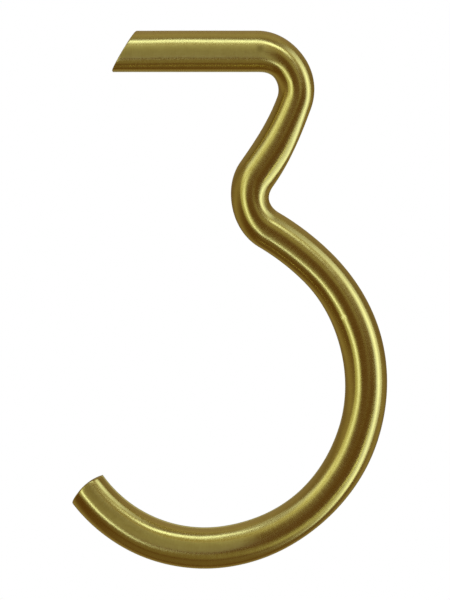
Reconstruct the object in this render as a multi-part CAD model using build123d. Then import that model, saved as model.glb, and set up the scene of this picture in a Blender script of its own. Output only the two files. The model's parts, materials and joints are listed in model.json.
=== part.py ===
from build123d import *
import math
import os

os.makedirs("parts", exist_ok=True)

# House numeral 3: one half-round brass bar bent flat into the figure, with a flat back that sits on the wall.
# It is drawn lying on its back, x to the right, y up the wall and z out of the wall, and stood up at the end.

# Centre line of the stroke, in order from the slanted tip to the foot
BAR_RUN = 30.0
SHOULDER_RADIUS = 8.65
SHOULDER_TURN = 110.0
NECK_RADIUS = 67.5
NECK_TURN = 15.2
WAIST_RADIUS = 8.8
WAIST_TURN = 94.7
LINK_RADIUS = 55.0
LINK_TURN = 14.3
BOWL_RADIUS = 36.85
BOWL_TURN = 126.3
FOOT_RADIUS = 32.7
FOOT_TURN = 62.5

# Width of the stroke from the front: drawn in at the tight bends, and a little uneven round the bowl
BAR_WIDTH = 9.15
SHOULDER_WIDTH = 8.0
NECK_END_WIDTH = 9.15
WAIST_WIDTH = 8.4
LINK_WIDTH = 8.9
BOWL_UPPER_WIDTH = 9.5
BOWL_SIDE_WIDTH = 9.15
BOWL_LOWER_WIDTH = 8.6
FOOT_WIDTH = 9.15

# How far the figure stands out from the wall; its front is a half round as wide as the stroke
PROJECTION = 6.35

# Tips: the upper one is sawn aslant, the lower one is square to the stroke and slightly crowned
TIP_SLANT = 59.4
FOOT_END_RADIUS = 11.0
SAWN_EDGE_RADIUS = 0.3

# Two blind tapped holes in the back, one above the other, for hidden wall studs
TAP_DIAMETER = 3.45
TAP_DEPTH = 4.0
TAP_MOUTH_DIAMETER = 4.2
DRILL_POINT_ANGLE = 118.0

# Stock left past the wall face and past both tips until it is cut off
SPARE = 6.0

# Where the width changes, sections are no further apart than this along the stroke or round a bend
SECTION_STEP = 6.0
SECTION_TURN = 10.0


def onward(line, radius, turn):
    """Bend that carries on from the end of a line, turning left for a positive angle."""
    return JernArc(line @ 1, line % 1, radius, turn)


bar = Line((0, 0), (BAR_RUN, 0))
shoulder = onward(bar, SHOULDER_RADIUS, -SHOULDER_TURN)
neck = onward(shoulder, NECK_RADIUS, -NECK_TURN)
waist = onward(neck, WAIST_RADIUS, WAIST_TURN)
link = onward(waist, LINK_RADIUS, -LINK_TURN)
bowl = onward(link, BOWL_RADIUS, -BOWL_TURN)
foot = onward(bowl, FOOT_RADIUS, -FOOT_TURN)
lead_in = Line(bar @ 0 - SPARE * (bar % 0), bar @ 0)
lead_out = Line(foot @ 1, foot @ 1 + SPARE * (foot % 1))

# Each length of the centre line, with the widths spaced evenly along it
bowl_widths = [LINK_WIDTH, BOWL_UPPER_WIDTH, BOWL_SIDE_WIDTH, BOWL_LOWER_WIDTH, FOOT_WIDTH]
stroke = [
    (lead_in, [BAR_WIDTH]),
    (bar, [BAR_WIDTH]),
    (shoulder, [BAR_WIDTH, SHOULDER_WIDTH, SHOULDER_WIDTH]),
    (neck, [SHOULDER_WIDTH, NECK_END_WIDTH]),
    (waist, [NECK_END_WIDTH, WAIST_WIDTH, LINK_WIDTH]),
    (link, [LINK_WIDTH]),
    (bowl, bowl_widths),
    (foot, [FOOT_WIDTH]),
    (lead_out, [FOOT_WIDTH]),
]


def width_at(widths, share):
    """Width at a share of one length, easing from each given width to the next."""
    place = share * (len(widths) - 1)
    step = min(int(place), len(widths) - 2)
    ease = (place - step) ** 2 * (3 - 2 * (place - step))
    return widths[step] + ease * (widths[step + 1] - widths[step])


def section(line, share, width):
    """Half-round section standing square across the stroke, long enough to pass the wall face."""
    half = width / 2
    side = PROJECTION - half
    along = line % share
    across = Plane(origin=line @ share, x_dir=(-along.Y, along.X, 0), z_dir=along)
    crown = CenterArc((0, side), half, start_angle=0, arc_size=180)
    sides = Polyline((-half, side), (-half, -SPARE), (half, -SPARE), (half, side))
    return across * make_face(crown + sides)


def bent_bar(line, widths):
    """One length of the bar: swept where the width stays, lofted where it changes."""
    if len(widths) == 1:
        return sweep(section(line, 0, widths[0]), path=line)
    bend = (line % 0).get_angle(line % 1)
    steps = math.ceil(max(line.length / SECTION_STEP, bend / SECTION_TURN))
    shares = [step / steps for step in range(steps + 1)]
    return loft([section(line, share, width_at(widths, share)) for share in shares])


numeral = Part()
for line, widths in stroke:
    numeral += bent_bar(line, widths)

# Flat back on the wall plane
wide = 4 * numeral.bounding_box().diagonal
numeral -= Box(wide, wide, 2 * SPARE, align=(Align.CENTER, Align.CENTER, Align.MAX))

# Slanted saw cut at the upper tip
waste = Box(4 * SPARE, 8 * SPARE, 4 * SPARE, align=(Align.CENTER, Align.CENTER, Align.MIN))
slant = Vector(1, 0, 0).rotate(Axis.Z, TIP_SLANT)
numeral -= Plane(origin=bar @ 0, x_dir=slant, z_dir=slant.rotate(Axis.Z, 90)) * waste

# Crowned end of the foot: an arc through both corners of the square end
crown_set_back = math.sqrt(FOOT_END_RADIUS**2 - (FOOT_WIDTH / 2) ** 2)
crown_disc = Pos(*(foot @ 1 - crown_set_back * (foot % 1))) * Cylinder(FOOT_END_RADIUS, 8 * SPARE)
numeral -= Plane(origin=foot @ 1, x_dir=(0, 0, 1), z_dir=foot % 1) * waste - crown_disc

# Sawn edges are eased, except against the wall
half_way_out = Vector(0, 0, PROJECTION / 2)
end_middle = foot @ 1 + (FOOT_END_RADIUS - crown_set_back) * (foot % 1)
tip_face = numeral.faces().sort_by_distance(bar @ 0 + half_way_out)[0]
end_face = numeral.faces().sort_by_distance(end_middle + half_way_out)[0]
sawn_edges = tip_face.edges() + end_face.edges()
wall_edges = sawn_edges.group_by(Axis.Z)[0]
numeral = fillet(sawn_edges - wall_edges, SAWN_EDGE_RADIUS)

# Tapped holes with a drilled point and an eased mouth, upright in line with the lowest point of the bowl
lower_hole = foot.arc_center - Vector(0, FOOT_RADIUS, 0)
upper_hole = Vector(lower_hole.X, (bar @ 0).Y, 0)
tap = TAP_DIAMETER / 2
mouth = TAP_MOUTH_DIAMETER / 2
drill_point = tap / math.tan(math.radians(DRILL_POINT_ANGLE / 2))
hole_end = TAP_DEPTH + drill_point
hole_side = [(0, -tap), (mouth + tap, -tap), (tap, mouth - tap), (tap, TAP_DEPTH), (0, hole_end)]
hole = revolve(make_face(Plane.XZ * Polyline(*hole_side, close=True)), Axis.Z)
numeral -= Pos(*upper_hole) * hole + Pos(*lower_hole) * hole

# Stood up against the wall, with the point midway between the holes as origin and the front facing -Y
numeral = Plane.XZ * Pos(*(-0.5 * (upper_hole + lower_hole))) * numeral
numeral.label = "numeral"
print("holes apart", (upper_hole - lower_hole).length)
print("box", numeral.bounding_box())
print("volume", numeral.volume)

export_step(numeral, "parts/numeral.step")
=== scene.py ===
import bmesh
import bpy
import json
import math
from collections import namedtuple
from mathutils import Matrix, Vector


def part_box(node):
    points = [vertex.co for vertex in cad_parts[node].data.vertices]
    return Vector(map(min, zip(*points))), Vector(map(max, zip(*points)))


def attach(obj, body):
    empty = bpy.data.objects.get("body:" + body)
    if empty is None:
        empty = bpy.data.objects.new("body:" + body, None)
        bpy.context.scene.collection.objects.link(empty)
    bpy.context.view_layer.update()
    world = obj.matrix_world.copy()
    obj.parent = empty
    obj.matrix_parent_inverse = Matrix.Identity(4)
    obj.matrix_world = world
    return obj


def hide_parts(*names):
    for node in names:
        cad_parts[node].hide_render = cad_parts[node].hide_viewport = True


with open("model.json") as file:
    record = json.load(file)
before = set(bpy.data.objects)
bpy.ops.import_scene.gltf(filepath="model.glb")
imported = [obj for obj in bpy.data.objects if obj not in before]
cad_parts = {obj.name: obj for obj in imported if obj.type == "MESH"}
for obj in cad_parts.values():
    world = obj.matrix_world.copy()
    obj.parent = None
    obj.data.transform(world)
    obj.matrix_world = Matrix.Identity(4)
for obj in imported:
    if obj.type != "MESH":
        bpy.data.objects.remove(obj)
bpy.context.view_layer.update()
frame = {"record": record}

# House numeral 3 in satin brass: one half-round bar bent flat and brushed across the stroke, with the marks
# of its bending, its sawn ends and the threads in its stud holes. Sizes are in metres, angles in degrees.
MM = 0.001
NODE_LOW, NODE_HIGH = (Vector(corner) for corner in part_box("numeral"))

# Centre line of the stroke: a straight bar, then bends with their radius and turn, left turns positive
BAR_RUN = 30.0 * MM
SHOULDER = (8.65 * MM, -110.0)
NECK = (67.5 * MM, -15.2)
WAIST = (8.8 * MM, 94.7)
LINK = (55.0 * MM, -14.3)
BOWL = (36.85 * MM, -126.3)
FOOT = (32.7 * MM, -62.5)

# Widths of the stroke from the front, and how far it stands out from the wall
BAR_WIDTH = 9.15 * MM
SHOULDER_WIDTH = 8.0 * MM
WAIST_WIDTH = 8.4 * MM
LINK_WIDTH = 8.9 * MM
BOWL_UPPER_WIDTH = 9.5 * MM
BOWL_LOWER_WIDTH = 8.6 * MM
PROJECTION = NODE_HIGH.y - NODE_LOW.y

# Each length of the stroke: its bend, its widths, and how far its crown leans to the right of travel
LENGTHS = [
    (None, [BAR_WIDTH, BAR_WIDTH], [-5.5, -2.7, -3.4]),
    (SHOULDER, [BAR_WIDTH, SHOULDER_WIDTH, SHOULDER_WIDTH], [-3.4, -1.2, 6.0]),
    (NECK, [SHOULDER_WIDTH, BAR_WIDTH], [6.0, 5.0, 1.3]),
    (WAIST, [BAR_WIDTH, WAIST_WIDTH, LINK_WIDTH], [1.3, 1.8, -1.3]),
    (LINK, [LINK_WIDTH, LINK_WIDTH], [-1.3, -1.9, -1.2]),
    (BOWL, [LINK_WIDTH, BOWL_UPPER_WIDTH, BAR_WIDTH, BOWL_LOWER_WIDTH, BAR_WIDTH],
     [-1.2, -1.0, -0.3, -1.7, -3.8, -1.8, 0.0, -0.6, -4.2]),
    (FOOT, [BAR_WIDTH, BAR_WIDTH], [-4.2, -4.6, -2.3, -4.3, -4.1]),
]

# Ends: a slanted saw cut at the tip, a crowned cut a little off square at the foot, both with eased edges
TIP_SLANT = 59.4
FOOT_END_RADIUS = 11.0 * MM
FOOT_END_SLANT = 5.5
SAWN_EDGE = 0.3 * MM

# Dents from bending and handling: distance along the stroke, angle round the crown from its left edge,
# reach along the stroke, reach round the crown, and depth; the last one is a bump
DENTS = [
    (73.0 * MM, 40.0, 3.6 * MM, 16.0, 0.15 * MM),
    (105.6 * MM, 114.6, 0.35 * MM, 4.5, 0.07 * MM),
    (42.0 * MM, 102.3, 0.5 * MM, 6.0, -0.03 * MM),
]

# Left flank of the neck, pushed out by bending: where it is, its reach, and its rise in half widths
NECK_FLANK_PLACE = 57.0 * MM
NECK_FLANK_REACH = 9.0 * MM
NECK_FLANK_RISE = 0.18

# Tapped stud holes in the back: bore, thread, one flank's share of the pitch, and drilled point
TAP_RADIUS = 1.725 * MM
TAP_DEPTH = 4.0 * MM
THREAD_RADIUS = 2.08 * MM
THREAD_PITCH = 0.79 * MM
THREAD_FLANK = 0.42
DRILL_POINT_ANGLE = 118.0

# Fineness of the mesh, room for the eased edges, and the length over which rows turn to meet the ends
ROW_STEP = 0.3 * MM
FIRST_ROW = 1.0 * MM
END_BLEND = 9.0 * MM
CROWN_STEPS = 48
SIDE_STEPS = 4
SAWN_EDGE_STEPS = 4
ROUND_PROFILE = 0.5
HOLE_STEPS = 40
THREAD_STEPS = 8

# Shading: edges sharper than this angle stay sharp, and faces that look this nearly along +Y stay flat
SHARP_ANGLE = 35.0
FLAT_BACK = 0.99

# Map of the surface in millimetres: where its sawn ends and its back start, clear of the front
STROKE_MAP = "stroke"
SAWN_MAP = 30.0
BACK_MAP = 400.0

# Tones of the brass, with their places in the mean of mottling and streaks, and the mottling
BRASS_TONES = [
    (0.36, (0.825, 0.71, 0.272, 1.0)),
    (0.64, (0.925, 0.83, 0.342, 1.0)),
]
MOTTLES_PER_METRE = 400.0
MOTTLE_DETAIL = 5.0
MOTTLE_BREAKUP = 0.7

# Brushing: streaks along and round the stroke, their relief, the roughness over a range of the streaks,
# and how strongly the gloss follows the brushing
STREAKS_PER_MM = 4.0
STREAK_ROUND_PER_MM = 0.35
STREAK_DETAIL = 4.0
STREAK_BREAKUP = 0.65
STREAK_DEPTH = 0.004 * MM
STREAK_RELIEF = 0.05
STREAK_RANGE = (0.25, 0.75)
STREAK_ROUGHNESS = (0.22, 0.3)
BRUSHED_ONE_WAY = 0.8

# Linished land along the crown of the top bar and of the foot: how much rougher it is, and for each of the
# two where it fades in and out, first along the stroke and then round the section, in millimetres
LAND_ROUGHNESS = 0.34
LANDS = [
    ((-9.0, -8.0, 29.0, 36.0), (7.6, 8.1, 10.0, 11.0)),
    ((164.0, 176.0, 230.0, 231.0), (7.9, 9.4, 10.2, 10.8)),
]

# Tarnish where the sides meet the wall: how far it reaches out, its tone, and how much rougher it is
TARNISH_REACH = 1.6 * MM
TARNISH = (0.42, 0.3, 0.1, 1.0)
TARNISH_ROUGHNESS = 0.5

# Faint smudge on the top bar: its place and reach in the map, and its strength
SMUDGE_PLACE = (30.5, 8.6, 0.0)
SMUDGE_REACH = 1.4
SMUDGE_STRENGTH = 0.4

# Floor: a pale disc that the photo's frame doesn't reach
FLOOR_RADIUS = 0.45
FLOOR_STEPS = 96
FLOOR_LEVEL = -0.15
FLOOR_TONE = (0.9, 0.89, 0.87, 1.0)
FLOOR_ROUGHNESS = 0.8
FLOOR_GLOW = 0.45

# Photo frame: reach of the camera from the wall, height of the frame at the wall and its centre (x, z)
CAMERA_REACH = 0.6
FRAME_HEIGHT = 134.76 * MM
FRAME_CENTRE = (4.56 * MM, -0.07 * MM)

# Studio: how far off the lights stand, their two colours, and the backdrop that the camera sees
STUDIO_REACH = 0.65
DAYLIGHT = (0.82, 0.975, 1.0)
LAMPLIGHT = (0.9, 1.0, 0.48)
BACKDROP = (1.0, 1.0, 1.0, 1.0)

# Tones of the room, with their places on the way to its bright side above and behind
ROOM_BRIGHT_SIDE = (0.0, 0.6, 0.8)
ROOM_TONES = [
    (0.3, (0.098, 0.045, 0.009, 1.0)),
    (0.55, (0.26, 0.2, 0.08, 1.0)),
    (0.75, (0.15, 0.1, 0.04, 1.0)),
    (1.0, (0.28, 0.22, 0.13, 1.0)),
]


def eased(values, share):
    """Value at a share of one length, easing from each given value to the next."""
    place = share * (len(values) - 1)
    step = min(int(place), len(values) - 2)
    part = place - step
    return values[step] + part * part * (3 - 2 * part) * (values[step + 1] - values[step])


Length = namedtuple("Length", "start run point heading bend widths leans")


class Stroke:
    """The centre line as straight and bent lengths, walked by distance from the slanted tip."""

    def __init__(self, lengths):
        self.lengths = []
        self.total = 0.0
        point = Vector((0, 0))
        heading = 0.0
        for bend, widths, leans in lengths:
            run = BAR_RUN if bend is None else bend[0] * math.radians(abs(bend[1]))
            self.lengths.append(Length(self.total, run, point, heading, bend, widths, leans))
            point, heading = self.along(self.lengths[-1], run)
            self.total += run

    def along(self, length, run):
        """Point and heading a given run into one length."""
        forward = Vector((math.cos(length.heading), math.sin(length.heading)))
        if length.bend is None:
            return length.point + run * forward, length.heading
        radius = math.copysign(*length.bend)
        centre = length.point + radius * Vector((-forward.y, forward.x))
        turned = length.heading + run / radius
        return centre + radius * Vector((math.sin(turned), -math.cos(turned))), turned

    def at(self, distance):
        """Point, heading, width and lean at a distance, carried on straight past both ends."""
        inside = min(max(distance, 0.0), self.total)
        length = next(each for each in reversed(self.lengths) if each.start <= inside)
        point, heading = self.along(length, inside - length.start)
        point = point + (distance - inside) * Vector((math.cos(heading), math.sin(heading)))
        share = min((inside - length.start) / length.run, 1.0)
        return point, heading, eased(length.widths, share), eased(length.leans, share)


stroke = Stroke(LENGTHS)


def dent_depth(distance, angle):
    """How far the surface is pressed in at a distance along the stroke and an angle round its crown."""
    depth = 0.0
    for place, middle, reach, spread, deep in DENTS:
        depth += deep * math.exp(-((distance - place) / reach) ** 2 - ((angle - middle) / spread) ** 2)
    return depth


def flank_rise(distance, share):
    """Rise of the neck's left flank in half widths; it starts half way from the crown to the left edge."""
    steepness = max(0.0, 2 * share - 1) ** 3
    return steepness * NECK_FLANK_RISE * math.exp(-((distance - NECK_FLANK_PLACE) / NECK_FLANK_REACH) ** 2)


def section_ring(distance):
    """Section's points (to the left, out of the wall), from its left edge over its crown to the right."""
    _, _, width, lean = stroke.at(distance)
    half = width / 2
    side = PROJECTION - half
    tilt = half * math.radians(lean)
    crown = []
    for i in range(CROWN_STEPS + 1):
        turn = math.pi * i / CROWN_STEPS
        share = math.cos(turn)
        # The rise that turns the surface by the lean nearly all over the crown, and less close to its edges
        leaning = tilt * (share + share**3 / 3 + share**5 / 5)
        rise = leaning + half * flank_rise(distance, share)
        radius = half - dent_depth(distance, math.degrees(turn))
        crown.append((radius * share, side + radius * math.sin(turn) + rise))
    left = [(half, crown[0][1] * i / SIDE_STEPS) for i in range(SIDE_STEPS)]
    right = [(-half, crown[-1][1] * i / SIDE_STEPS) for i in reversed(range(SIDE_STEPS))]
    return left + crown + right


def end_shift(distance, across):
    """How far a point moves along the stroke, so that the rows end on the two cuts."""
    tip_cut = across / math.tan(math.radians(TIP_SLANT))
    corner = math.sqrt(FOOT_END_RADIUS**2 - BAR_WIDTH**2 / 4)
    crowned = math.sqrt(FOOT_END_RADIUS**2 - across**2) - corner
    foot_cut = crowned - across * math.tan(math.radians(FOOT_END_SLANT))
    near_tip = max(0.0, 1 - distance / END_BLEND)
    near_foot = max(0.0, 1 - (stroke.total - distance) / END_BLEND)
    return near_tip * tip_cut + near_foot * foot_cut


def on_stroke(distance, across, out):
    """Point at a distance along the stroke, a distance to its left and a distance out of the wall."""
    point, heading, _, _ = stroke.at(distance)
    x = point.x - across * math.sin(heading)
    z = point.y + across * math.cos(heading)
    return Vector((x, NODE_HIGH.y - out, z))


def mapped_vertex(bm, places, distance, across, out, girth):
    """New vertex on the stroke; keeps its places in the maps of the front and of the sawn ends."""
    moved = distance + end_shift(distance, across)
    made = bm.verts.new(on_stroke(moved, across, out))
    places[made] = ((moved / MM, girth / MM), (across / MM, SAWN_MAP + out / MM))
    return made


def add_rows(bm, places):
    """Rows of vertices over the sides and the front, with faces between them."""
    inner = stroke.total - 2 * FIRST_ROW
    steps = math.ceil(inner / ROW_STEP)
    distances = [0.0] + [FIRST_ROW + inner * i / steps for i in range(steps + 1)] + [stroke.total]
    rows = []
    for distance in distances:
        row = []
        girth = 0.0
        points = section_ring(distance)
        for before, point in zip([points[0]] + points, points):
            girth += math.dist(before, point)
            row.append(mapped_vertex(bm, places, distance, *point, girth))
        rows.append(row)
    for before, after in zip(rows, rows[1:]):
        for a, b, c, d in zip(before, before[1:], after[1:], after):
            bm.faces.new((a, b, c, d))
    return rows


def add_foot_end(bm, places, rim):
    """Crowned end of the foot in strips square to the wall; gives them and the new vertices on the wall."""
    crown = section_ring(stroke.total)[SIDE_STEPS:-SIDE_STEPS]
    sole = [mapped_vertex(bm, places, stroke.total, across, 0.0, 0.0) for across, _ in crown[1:-1]]
    bottom = [rim[0]] + sole + [rim[-1]]
    top = rim[SIDE_STEPS:-SIDE_STEPS]
    left_side = rim[:SIDE_STEPS + 1]
    right_side = rim[-SIDE_STEPS - 1:]
    strips = [bm.faces.new(left_side + [top[1], bottom[1]])]
    for a, b, c, d in list(zip(top, top[1:], bottom[1:], bottom))[1:-1]:
        strips.append(bm.faces.new((a, b, c, d)))
    strips.append(bm.faces.new([bottom[-2], top[-2]] + right_side))
    return strips, sole


def rim_edges(rim):
    """Edges of one end's rim, without the one on the wall."""
    return [edge for a, b in zip(rim, rim[1:]) for edge in a.link_edges if edge.other_vert(a) == b]


def numeral_mesh():
    """The bent bar as rows of sections, closed by its two ends and its back."""
    bm = bmesh.new()
    uv = bm.loops.layers.uv.new(STROKE_MAP)
    places = {}
    rows = add_rows(bm, places)
    tip_end = bm.faces.new(list(reversed(rows[0])))
    foot_end, sole = add_foot_end(bm, places, rows[-1])
    back = bm.faces.new([row[0] for row in rows] + sole + [row[-1] for row in reversed(rows)])

    # Map in millimetres: along and round the stroke, across and up the sawn ends, and flat on the back
    for face in bm.faces:
        for loop in face.loops:
            loop[uv].uv = places[loop.vert][0]
    for face in [tip_end] + foot_end:
        for loop in face.loops:
            loop[uv].uv = places[loop.vert][1]
    for loop in back.loops:
        loop[uv].uv = (loop.vert.co.x / MM, BACK_MAP + loop.vert.co.z / MM)

    # Eased edges of the sawn ends
    bm.normal_update()
    bmesh.ops.bevel(
        bm,
        geom=rim_edges(rows[0]) + rim_edges(rows[-1]),
        offset=SAWN_EDGE,
        segments=SAWN_EDGE_STEPS,
        profile=ROUND_PROFILE,
        affect="EDGES",
    )
    mesh = bpy.data.meshes.new("numeral_brass")
    bm.to_mesh(mesh)
    bm.free()

    # Moved from the tip to where the solid stands
    high = [max(v.co[axis] for v in mesh.vertices) for axis in range(3)]
    mesh.transform(Matrix.Translation(NODE_HIGH - Vector(high)))
    return mesh


def thread_radius(depth, turns):
    """Radius of the threaded bore at a depth and a share of a turn, widest in the middle of each groove."""
    phase = (depth / THREAD_PITCH - turns) % 1.0
    groove = max(0.0, 1 - abs(phase - 0.5) / THREAD_FLANK)
    return TAP_RADIUS + (THREAD_RADIUS - TAP_RADIUS) * groove


def threaded_hole(centre):
    """Cutter for one tapped hole, from a pitch outside the back to its drilled point, driven along -Y."""
    bm = bmesh.new()
    steps = THREAD_STEPS + int(THREAD_STEPS * TAP_DEPTH / THREAD_PITCH)
    depths = [-THREAD_PITCH + THREAD_PITCH * i / THREAD_STEPS for i in range(steps + 1)]
    rings = []
    for depth in depths:
        ring = []
        for i in range(HOLE_STEPS):
            radius = thread_radius(depth, i / HOLE_STEPS)
            turn = 2 * math.pi * i / HOLE_STEPS
            spot = Vector((radius * math.cos(turn), -depth, radius * math.sin(turn)))
            ring.append(bm.verts.new(centre + spot))
        rings.append(ring)
    for before, after in zip(rings, rings[1:]):
        for i in range(HOLE_STEPS):
            bm.faces.new((before[i], before[i - 1], after[i - 1], after[i]))
    bm.faces.new(rings[0])
    point_depth = TAP_RADIUS / math.tan(math.radians(DRILL_POINT_ANGLE / 2))
    tip = bm.verts.new(centre + Vector((0, -depths[-1] - point_depth, 0)))
    for i in range(HOLE_STEPS):
        bm.faces.new((rings[-1][i], rings[-1][i - 1], tip))
    bmesh.ops.recalc_face_normals(bm, faces=bm.faces)
    mesh = bpy.data.meshes.new("stud_hole")
    bm.to_mesh(mesh)
    bm.free()
    return mesh


def add_object(name, data):
    """New object in the scene."""
    made = bpy.data.objects.new(name, data)
    bpy.context.scene.collection.objects.link(made)
    return made


def cut_holes(piece):
    """Cuts the stud holes that the record's mount places."""
    mount = next(m for m in frame["record"]["mounts"] if m["name"] == "stud_holes")
    apart = mount["dims"]["spacing_y_mm"] * MM
    for side in (-1, 1):
        centre = Vector(mount["pos_m"]) + Vector((0, 0, side * apart / 2))
        cutter = add_object("stud_hole", threaded_hole(centre))
        cut = piece.modifiers.new("hole", "BOOLEAN")
        cut.object = cutter
        cut.operation = "DIFFERENCE"
        cut.solver = "EXACT"
        bpy.context.view_layer.update()
        graph = bpy.context.evaluated_depsgraph_get()
        done = bpy.data.meshes.new_from_object(piece.evaluated_get(graph))
        piece.modifiers.clear()
        piece.data = done
        bpy.data.objects.remove(cutter)


numeral = add_object("numeral_brass", numeral_mesh())
cut_holes(numeral)
for face in numeral.data.polygons:
    face.use_smooth = face.normal.y < FLAT_BACK
numeral.data.set_sharp_from_angle(angle=math.radians(SHARP_ANGLE))
weighted = numeral.modifiers.new("flat faces stay flat", "WEIGHTED_NORMAL")
weighted.keep_sharp = True


def set_inputs(tree, node, inputs):
    """Sets a node's inputs, each to a value or to a link from another node's output."""
    for name, given in inputs.items():
        if isinstance(given, bpy.types.NodeSocket):
            tree.links.new(given, node.inputs[name])
        else:
            node.inputs[name].default_value = given


def add_node(tree, kind, inputs, **settings):
    """New node with its settings and its inputs."""
    made = tree.nodes.new(kind)
    for name, value in settings.items():
        setattr(made, name, value)
    set_inputs(tree, made, inputs)
    return made


def combined(tree, operation, first, second):
    """Result of one sum on two sockets, or on a socket and a number."""
    return add_node(tree, "ShaderNodeMath", {0: first, 1: second}, operation=operation).outputs["Value"]


def tone_ramp(tree, share, tones):
    """Colour at a share of a ramp through the given places and tones."""
    ramp = add_node(tree, "ShaderNodeValToRGB", {"Fac": share})
    stops = ramp.color_ramp.elements
    for place, _ in tones[1:-1]:
        stops.new(place)
    for stop, (place, colour) in zip(stops, tones):
        stop.position = place
        stop.color = colour
    return ramp.outputs["Color"]


def band(tree, value, edges):
    """Mask that rises between the first two edges and falls between the last two."""
    rise_from, rise_to, fall_from, fall_to = edges
    masks = []
    for low, high in ((rise_from, rise_to), (fall_to, fall_from)):
        inputs = {"Value": value, "From Min": low, "From Max": high}
        ramp = add_node(tree, "ShaderNodeMapRange", inputs, interpolation_type="SMOOTHSTEP")
        masks.append(ramp.outputs["Result"])
    return combined(tree, "MULTIPLY", *masks)


def streak_noise(tree, where):
    """Streaks of the brushing: fine along the stroke and long across it."""
    scale = (STREAKS_PER_MM, STREAK_ROUND_PER_MM, 1.0)
    stretch = add_node(tree, "ShaderNodeMapping", {"Vector": where, "Scale": scale})
    inputs = {
        "Vector": stretch.outputs["Vector"],
        "Scale": 1.0,
        "Detail": STREAK_DETAIL,
        "Roughness": STREAK_BREAKUP,
    }
    return add_node(tree, "ShaderNodeTexNoise", inputs).outputs["Fac"]


def mottle_noise(tree, body):
    """Faint unevenness of the metal."""
    inputs = {
        "Vector": body,
        "Scale": MOTTLES_PER_METRE,
        "Detail": MOTTLE_DETAIL,
        "Roughness": MOTTLE_BREAKUP,
    }
    return add_node(tree, "ShaderNodeTexNoise", inputs).outputs["Fac"]


def wall_tarnish(tree, body, girth, mottle):
    """Mask of the tarnish in a ragged line along the wall, not on the back itself."""
    spot = add_node(tree, "ShaderNodeSeparateXYZ", {"Vector": body})
    inputs = {
        "Value": spot.outputs["Y"],
        "From Min": NODE_HIGH.y - TARNISH_REACH,
        "From Max": NODE_HIGH.y,
    }
    reach = add_node(tree, "ShaderNodeMapRange", inputs)
    ragged = combined(tree, "MULTIPLY", reach.outputs["Result"], mottle)
    off_back = combined(tree, "LESS_THAN", girth, BACK_MAP / 2)
    return combined(tree, "MULTIPLY", ragged, off_back)


def smudge(tree, where):
    """Mask of the smudge on the top bar."""
    away = add_node(tree, "ShaderNodeVectorMath", {0: where, 1: SMUDGE_PLACE}, operation="DISTANCE")
    inputs = {
        "Value": away.outputs["Value"],
        "From Max": SMUDGE_REACH,
        "To Min": SMUDGE_STRENGTH,
        "To Max": 0.0,
    }
    fade = add_node(tree, "ShaderNodeMapRange", inputs, interpolation_type="SMOOTHSTEP")
    return fade.outputs["Result"]


def linished_lands(tree, along, girth):
    """Mask of the lands along the crown of the top bar and of the foot."""
    lands = []
    for along_edges, girth_edges in LANDS:
        length = band(tree, along, along_edges)
        breadth = band(tree, girth, girth_edges)
        lands.append(combined(tree, "MULTIPLY", length, breadth))
    return combined(tree, "ADD", *lands)


def metal_colour(tree, mottle, streaks, tarnish):
    """Brass tones by the mean of mottling and streaks, with the tarnish over them."""
    both = combined(tree, "ADD", mottle, streaks)
    clean = tone_ramp(tree, combined(tree, "MULTIPLY", both, 0.5), BRASS_TONES)
    inputs = {"Factor": tarnish, "A": clean, "B": TARNISH}
    return add_node(tree, "ShaderNodeMix", inputs, data_type="RGBA").outputs["Result"]


def metal_roughness(tree, streaks, land, tarnish):
    """Roughness of the streaks, with more of it on the lands and in the tarnish."""
    inputs = {
        "Value": streaks,
        "From Min": STREAK_RANGE[0],
        "From Max": STREAK_RANGE[1],
        "To Min": STREAK_ROUGHNESS[0],
        "To Max": STREAK_ROUGHNESS[1],
    }
    brushed = add_node(tree, "ShaderNodeMapRange", inputs).outputs["Result"]
    worked = combined(tree, "ADD", brushed, combined(tree, "MULTIPLY", land, LAND_ROUGHNESS))
    return combined(tree, "ADD", worked, combined(tree, "MULTIPLY", tarnish, TARNISH_ROUGHNESS))


def satin_brass():
    """Brass brushed across the stroke, with linished lands, faint mottling and tarnish."""
    made = bpy.data.materials.new("satin_brass")
    made.use_nodes = True
    tree = made.node_tree
    where = add_node(tree, "ShaderNodeUVMap", {}, uv_map=STROKE_MAP).outputs["UV"]
    body = add_node(tree, "ShaderNodeTexCoord", {}).outputs["Object"]
    parts = add_node(tree, "ShaderNodeSeparateXYZ", {"Vector": where})
    along = parts.outputs["X"]
    girth = parts.outputs["Y"]
    streaks = streak_noise(tree, where)
    mottle = mottle_noise(tree, body)
    tarnish = combined(tree, "ADD", wall_tarnish(tree, body, girth, mottle), smudge(tree, where))
    land = linished_lands(tree, along, girth)
    height = {"Strength": STREAK_RELIEF, "Distance": STREAK_DEPTH, "Height": streaks}
    relief = add_node(tree, "ShaderNodeBump", height)
    grain = add_node(tree, "ShaderNodeTangent", {}, direction_type="UV_MAP", uv_map=STROKE_MAP)
    inputs = {
        "Metallic": 1.0,
        "Anisotropic": BRUSHED_ONE_WAY,
        "Base Color": metal_colour(tree, mottle, streaks, tarnish),
        "Roughness": metal_roughness(tree, streaks, land, tarnish),
        "Normal": relief.outputs["Normal"],
        "Tangent": grain.outputs["Tangent"],
    }
    set_inputs(tree, tree.nodes["Principled BSDF"], inputs)
    return made


numeral.data.materials.append(satin_brass())
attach(numeral, "root")
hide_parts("numeral")


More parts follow.
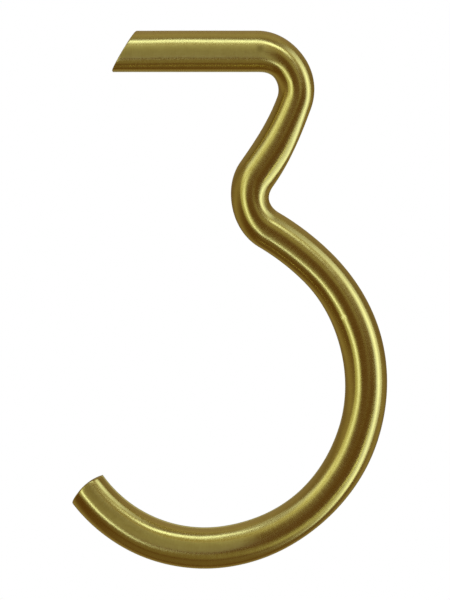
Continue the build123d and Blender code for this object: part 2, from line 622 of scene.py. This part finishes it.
def pale_floor():
    """Pale disc well below the numeral; the metal doesn't mirror it and the lights pass through it."""
    bm = bmesh.new()
    bmesh.ops.create_circle(bm, cap_ends=True, segments=FLOOR_STEPS, radius=FLOOR_RADIUS)
    mesh = bpy.data.meshes.new("floor")
    bm.to_mesh(mesh)
    bm.free()
    floor = add_object("floor", mesh)
    floor.location = (0, 0, FLOOR_LEVEL)
    floor.visible_glossy = False
    floor.visible_shadow = False
    paint = bpy.data.materials.new("floor")
    paint.use_nodes = True
    tree = paint.node_tree
    inputs = {
        "Base Color": FLOOR_TONE,
        "Roughness": FLOOR_ROUGHNESS,
        "Emission Color": FLOOR_TONE,
        "Emission Strength": FLOOR_GLOW,
    }
    set_inputs(tree, tree.nodes["Principled BSDF"], inputs)
    mesh.materials.append(paint)


def photo_camera():
    """Camera straight in front, as far off and as wide as the photo's frame needs."""
    data = bpy.data.cameras.new("camera")
    data.sensor_fit = "VERTICAL"
    data.lens = data.sensor_height * CAMERA_REACH / FRAME_HEIGHT
    camera = add_object("camera", data)
    camera.location = (FRAME_CENTRE[0], NODE_HIGH.y - CAMERA_REACH, FRAME_CENTRE[1])
    camera.rotation_euler = (math.radians(90), 0, 0)
    bpy.context.scene.camera = camera


def studio():
    """White backdrop to the camera, a dim warm room to the metal."""
    world = bpy.data.worlds.new("studio")
    bpy.context.scene.world = world
    world.use_nodes = True
    tree = world.node_tree
    tree.nodes.clear()
    way = add_node(tree, "ShaderNodeTexCoord", {}).outputs["Generated"]
    bright_side = Vector(ROOM_BRIGHT_SIDE).normalized()
    lift = add_node(tree, "ShaderNodeVectorMath", {0: way, 1: bright_side}, operation="DOT_PRODUCT")
    whole_room = {"Value": lift.outputs["Value"], "From Min": -1.0, "From Max": 1.0}
    share = add_node(tree, "ShaderNodeMapRange", whole_room).outputs["Result"]
    room = add_node(tree, "ShaderNodeBackground", {"Color": tone_ramp(tree, share, ROOM_TONES)})
    sweep = add_node(tree, "ShaderNodeBackground", {"Color": BACKDROP})
    seen = add_node(tree, "ShaderNodeLightPath", {}).outputs["Is Camera Ray"]
    inputs = {0: seen, 1: room.outputs["Background"], 2: sweep.outputs["Background"]}
    either = add_node(tree, "ShaderNodeMixShader", inputs)
    add_node(tree, "ShaderNodeOutputWorld", {"Surface": either.outputs["Shader"]})


def softbox(name, towards, along, length, width, radiance, colour):
    """Rectangular soft light that faces the numeral from a given side, long in a given direction."""
    light = bpy.data.lights.new(name, "AREA")
    light.shape = "RECTANGLE"
    light.size = width * STUDIO_REACH
    light.size_y = length * STUDIO_REACH
    light.energy = radiance * math.pi * light.size * light.size_y
    light.color = colour
    lamp = add_object(name, light)
    back = Vector(towards).normalized()
    long_way = Vector(along)
    long_way = (long_way - back * long_way.dot(back)).normalized()
    lamp.location = STUDIO_REACH * Vector(towards)
    lamp.rotation_euler = Matrix((long_way.cross(back), long_way, back)).transposed().to_euler()
    lamp.visible_camera = False


pale_floor()
photo_camera()
studio()

# Soft lights: places, lengths and widths in shares of the studio's reach, then radiance and colour
softbox("right", (1.0, -0.29, 0.1), (0, 0, 1), 1.1, 0.25, 0.62, DAYLIGHT)
softbox("right_wide", (1.0, -0.25, 0.1), (0, 0, 1), 2.2, 0.7, 0.62, DAYLIGHT)
softbox("right_low", (1.0, -0.1, -0.85), (0, -0.38, 1), 0.9, 0.25, 0.68, DAYLIGHT)
softbox("right_spot", (0.72, -0.56, -0.42), (0, 0, 1), 0.15, 0.15, 1.3, LAMPLIGHT)
softbox("left", (-1.0, -1.2, -0.05), (0, 0.27, 1), 1.15, 0.33, 0.7, DAYLIGHT)
softbox("left_wide", (-1.0, -1.0, 0.1), (0, 0.3, 1), 1.8, 0.9, 0.38, LAMPLIGHT)
softbox("left_high", (-1.0, -0.62, 0.9), (0, 1, 1), 0.9, 0.3, 0.74, DAYLIGHT)
softbox("left_low", (-0.45, -0.72, -0.52), (0, 0.44, 1), 0.35, 0.15, 1.6, DAYLIGHT)
softbox("top", (0.1, -0.65, 1.0), (0.8, -0.55, 0), 1.0, 0.25, 1.65, DAYLIGHT)
softbox("top_left", (-0.4, -0.2, 1.0), (0.7, -0.6, 0), 0.6, 0.25, 0.36, DAYLIGHT)
softbox("top_right", (0.65, -0.75, 1.0), (1, 0.3, 0), 0.5, 0.25, 0.22, LAMPLIGHT)
softbox("top_back", (0.1, 0.1, 1.0), (1, 0, 0), 1.2, 0.5, 0.06, LAMPLIGHT)
softbox("front_high", (0.0, -0.79, 0.61), (1, 0, 0), 0.8, 0.45, 0.08, LAMPLIGHT)
softbox("front_right", (0.3, -0.9, 0.3), (0, 0, 1), 0.4, 0.25, 0.15, LAMPLIGHT)
softbox("low", (0.0, -0.6, -0.9), (1, 0, 0), 1.4, 0.6, 0.08, LAMPLIGHT)
softbox("low_back", (0.0, 0.1, -1.0), (1, 0, 0), 1.4, 0.6, 0.05, LAMPLIGHT)
softbox("back", (0.1, 1.0, 0.1), (0, 0, 1), 0.4, 0.4, 0.22, LAMPLIGHT)
softbox("low_right", (0.7, -0.3, -0.75), (0.5, 0.85, 0.2), 0.9, 0.4, 0.27, LAMPLIGHT)
bpy.context.scene.view_settings.view_transform = "Standard"
